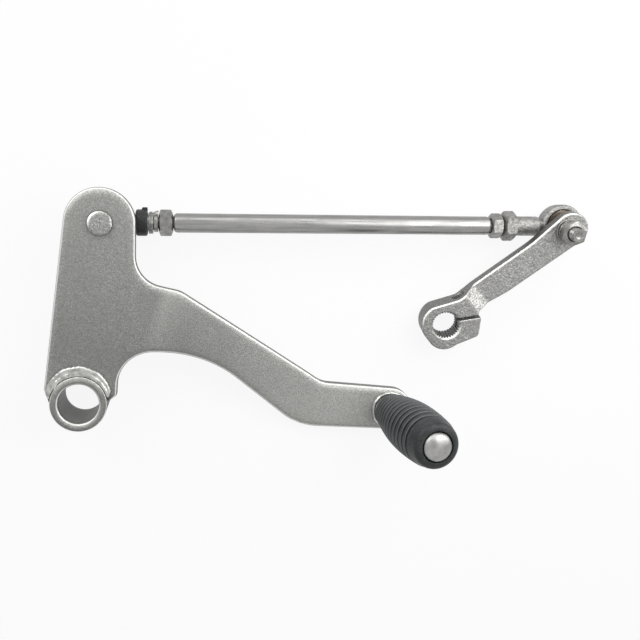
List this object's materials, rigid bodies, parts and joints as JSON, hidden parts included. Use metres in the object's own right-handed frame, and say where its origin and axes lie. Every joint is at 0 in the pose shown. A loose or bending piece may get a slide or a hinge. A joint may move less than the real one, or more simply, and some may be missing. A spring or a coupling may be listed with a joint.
{
  "type": "motorcycle gear shift linkage",
  "caption": "Foot gear shift linkage: stamped lever plate with pivot tube and rubber toe peg, straight tie rod with ball joints, and forged shift arm with a splined, slit clamp.",
  "frame": {"origin": "the lever's pivot axis, at the back end of the pivot tube", "axes": "+X along the tie rod towards the shift arm, +Y from the pivot tube to the left ball stud, +Z along the pivot tube out of the lever's front face, up as it lies"},
  "size_m": [0.2449, 0.1154, 0.0624],
  "materials": {
    "painted_steel": "silver-grey paint with fine grain",
    "weld_steel": "painted weld bead",
    "zinc_steel": "smooth bright zinc",
    "nut_steel": "dull zinc",
    "cast_steel": "shot-blasted forging with sparkle",
    "bearing_bronze": "oiled sintered bronze",
    "black_rubber": "matte moulded rubber"
  },
  "bodies": {
    "lever": {"lever_plate": "painted_steel", "pivot_tube": "painted_steel", "pivot_weld_front": "weld_steel", "pivot_weld_back": "weld_steel", "toe_peg": "zinc_steel", "toe_peg_weld": "weld_steel", "toe_rubber": "black_rubber", "left_ball_stud": "painted_steel"},
    "left_seat": {"left_ball_seat": "bearing_bronze"},
    "link": {"left_joint_housing": "cast_steel", "left_joint_cap": "zinc_steel", "left_dust_boot": "black_rubber", "left_neck_sleeve": "black_rubber", "left_sleeve_clip": "zinc_steel", "left_lock_nut": "nut_steel", "tie_rod": "zinc_steel", "right_lock_nut": "nut_steel", "right_rod_end": "cast_steel"},
    "race": {"right_race": "bearing_bronze"},
    "arm": {"right_ball": "zinc_steel", "link_bolt": "nut_steel", "ball_washer": "nut_steel", "plain_washer": "nut_steel", "spring_washer": "nut_steel", "link_nut": "nut_steel", "shift_arm": "cast_steel"}
  },
  "joints": [
    {"name": "left_tilt", "type": "hinge", "parent": "lever", "child": "left_seat", "pos_m": [0.0103, 0.077, 0.00977], "axis": [0, 1, 0], "range_deg": [-7, 7]},
    {"name": "left_swing", "type": "hinge", "parent": "left_seat", "child": "link", "pos_m": [0.0103, 0.077, 0.00977], "axis": [0, 0, 1], "range_deg": [-7, 180]},
    {"name": "right_swing", "type": "hinge", "parent": "link", "child": "race", "pos_m": [0.2203, 0.077, 0.00977], "axis": [0, 0, 1], "range_deg": [-1.5, 270]},
    {"name": "right_tilt", "type": "hinge", "parent": "race", "child": "arm", "pos_m": [0.2203, 0.077, 0.00977], "axis": [-0.6428, 0.766, 0], "range_deg": [-1, 24]}
  ]
}
